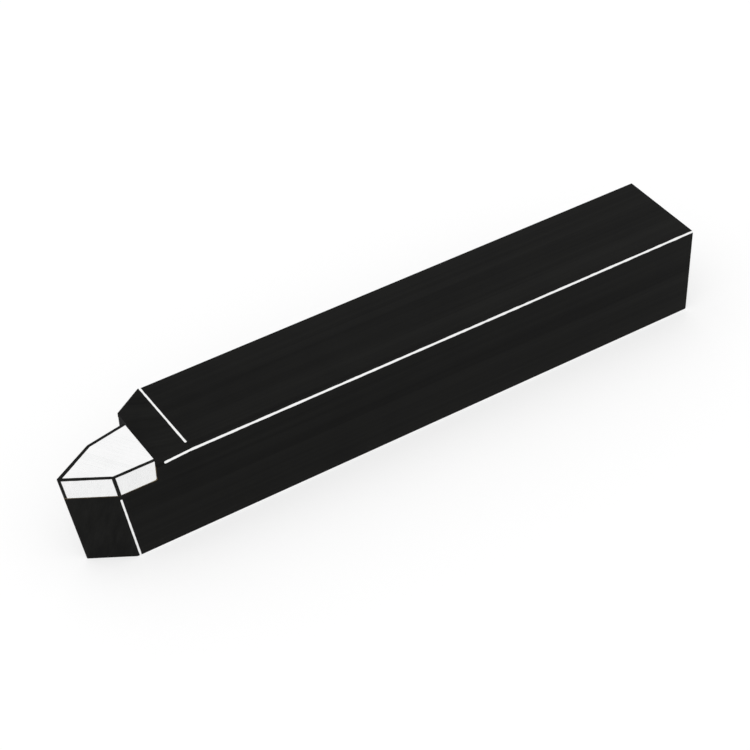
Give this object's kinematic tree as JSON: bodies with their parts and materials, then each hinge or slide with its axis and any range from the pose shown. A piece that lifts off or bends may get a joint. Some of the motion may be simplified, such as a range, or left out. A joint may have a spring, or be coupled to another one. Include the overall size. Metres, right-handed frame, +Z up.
{
  "type": "external threading tool",
  "caption": "Right-hand external threading tool: square steel shank with a brazed carbide tip ground to a sixty degree point.",
  "frame": {"origin": "under the middle of the tool's overall box, on the plane that its bottom rests on", "axes": "+X from the cutting point towards the back end along the shank, +Y towards the far side, away from the side that the point stands beside, +Z up from the bottom to the rake face"},
  "size_m": [0.11, 0.016, 0.017],
  "materials": {
    "blackened_steel": "satin black, worn bright along its edges",
    "ground_carbide": "bright ground",
    "brazing_metal": "dull, as brazed"
  },
  "bodies": {
    "root": {"shank": "blackened_steel", "carbide_tip": "ground_carbide", "braze_seam": "brazing_metal"}
  },
  "joints": []
}
